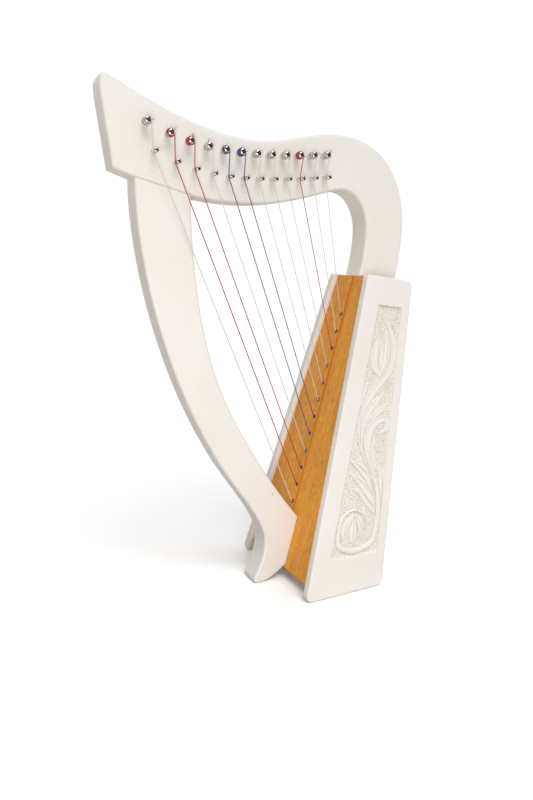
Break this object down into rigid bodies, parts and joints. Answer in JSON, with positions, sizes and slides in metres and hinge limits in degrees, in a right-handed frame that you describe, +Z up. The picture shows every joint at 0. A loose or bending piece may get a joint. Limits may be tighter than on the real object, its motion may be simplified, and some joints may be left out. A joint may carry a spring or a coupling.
{
  "type": "lap harp",
  "caption": "Small lever-less lap harp: curved neck and pillar, tapered soundbox with carved side panels, and a tuning pin for each string.",
  "frame": {"origin": "on the floor under the middle of the harp's overall box", "axes": "+X from the pillar towards the soundbox, +Y from the string side to the key side, +Z up"},
  "size_m": [0.3443, 0.1734, 0.5419],
  "materials": {
    "white_paint": "warm white satin paint on wood",
    "honey_wood": "orange-brown satin varnish, grain along the soundboard",
    "bare_wood": "plain pale wood, unfinished",
    "nickel": "polished nickel plate",
    "clear_nylon": "clear to pale nylon",
    "red_nylon": "red nylon",
    "blue_nylon": "dark blue nylon"
  },
  "bodies": {
    "harp": {"neck": "white_paint", "pillar": "white_paint", "side_panel_left": "white_paint", "side_panel_right": "white_paint", "soundboard": "honey_wood", "string_strip": "honey_wood", "inner_rib": "bare_wood", "back_panel": "bare_wood", "top_block": "bare_wood", "base_board": "bare_wood", "heel_block": "bare_wood", "soundboard_liners": "bare_wood", "back_liners": "bare_wood", "neck_dowels": "bare_wood", "pillar_dowels": "bare_wood", "eyelets": "nickel", "bridge_pins": "nickel", "pillar_screws": "nickel", "string_01": "clear_nylon", "string_02": "red_nylon", "string_03": "red_nylon", "string_04": "clear_nylon", "string_05": "blue_nylon", "string_06": "blue_nylon", "string_07": "clear_nylon", "string_08": "clear_nylon", "string_09": "clear_nylon", "string_10": "red_nylon", "string_11": "clear_nylon", "string_12": "clear_nylon"},
    "pin_01": {"tuning_pin_01": "nickel", "string_wrap_01": "clear_nylon"},
    "pin_02": {"tuning_pin_02": "nickel", "string_wrap_02": "clear_nylon"},
    "pin_03": {"tuning_pin_03": "nickel", "string_wrap_03": "red_nylon"},
    "pin_04": {"tuning_pin_04": "nickel", "string_wrap_04": "clear_nylon"},
    "pin_05": {"tuning_pin_05": "nickel", "string_wrap_05": "clear_nylon"},
    "pin_06": {"tuning_pin_06": "nickel", "string_wrap_06": "blue_nylon"},
    "pin_07": {"tuning_pin_07": "nickel", "string_wrap_07": "clear_nylon"},
    "pin_08": {"tuning_pin_08": "nickel", "string_wrap_08": "clear_nylon"},
    "pin_09": {"tuning_pin_09": "nickel", "string_wrap_09": "clear_nylon"},
    "pin_10": {"tuning_pin_10": "nickel", "string_wrap_10": "red_nylon"},
    "pin_11": {"tuning_pin_11": "nickel", "string_wrap_11": "clear_nylon"},
    "pin_12": {"tuning_pin_12": "nickel", "string_wrap_12": "clear_nylon"}
  },
  "joints": [
    {"name": "pin_01_turn", "type": "hinge", "parent": "harp", "child": "pin_01", "pos_m": [-0.131, 0, 0.5], "axis": [0, -1, 0], "range_deg": [-1080, 90]},
    {"name": "pin_02_turn", "type": "hinge", "parent": "harp", "child": "pin_02", "pos_m": [-0.1085, 0, 0.49015], "axis": [0, -1, 0], "range_deg": [-1080, 90]},
    {"name": "pin_03_turn", "type": "hinge", "parent": "harp", "child": "pin_03", "pos_m": [-0.08814, 0, 0.4838], "axis": [0, -1, 0], "range_deg": [-1080, 90]},
    {"name": "pin_04_turn", "type": "hinge", "parent": "harp", "child": "pin_04", "pos_m": [-0.06922, 0, 0.47976], "axis": [0, -1, 0], "range_deg": [-1080, 90]},
    {"name": "pin_05_turn", "type": "hinge", "parent": "harp", "child": "pin_05", "pos_m": [-0.05126, 0, 0.47726], "axis": [0, -1, 0], "range_deg": [-1080, 90]},
    {"name": "pin_06_turn", "type": "hinge", "parent": "harp", "child": "pin_06", "pos_m": [-0.03395, 0, 0.47582], "axis": [0, -1, 0], "range_deg": [-1080, 90]},
    {"name": "pin_07_turn", "type": "hinge", "parent": "harp", "child": "pin_07", "pos_m": [-0.01707, 0, 0.47511], "axis": [0, -1, 0], "range_deg": [-1080, 90]},
    {"name": "pin_08_turn", "type": "hinge", "parent": "harp", "child": "pin_08", "pos_m": [-0.00048, 0, 0.47492], "axis": [0, -1, 0], "range_deg": [-1080, 90]},
    {"name": "pin_09_turn", "type": "hinge", "parent": "harp", "child": "pin_09", "pos_m": [0.01591, 0, 0.47511], "axis": [0, -1, 0], "range_deg": [-1080, 90]},
    {"name": "pin_10_turn", "type": "hinge", "parent": "harp", "child": "pin_10", "pos_m": [0.03218, 0, 0.47561], "axis": [0, -1, 0], "range_deg": [-1080, 90]},
    {"name": "pin_11_turn", "type": "hinge", "parent": "harp", "child": "pin_11", "pos_m": [0.04836, 0, 0.47635], "axis": [0, -1, 0], "range_deg": [-1080, 90]},
    {"name": "pin_12_turn", "type": "hinge", "parent": "harp", "child": "pin_12", "pos_m": [0.06447, 0, 0.4773], "axis": [0, -1, 0], "range_deg": [-1080, 90]}
  ]
}
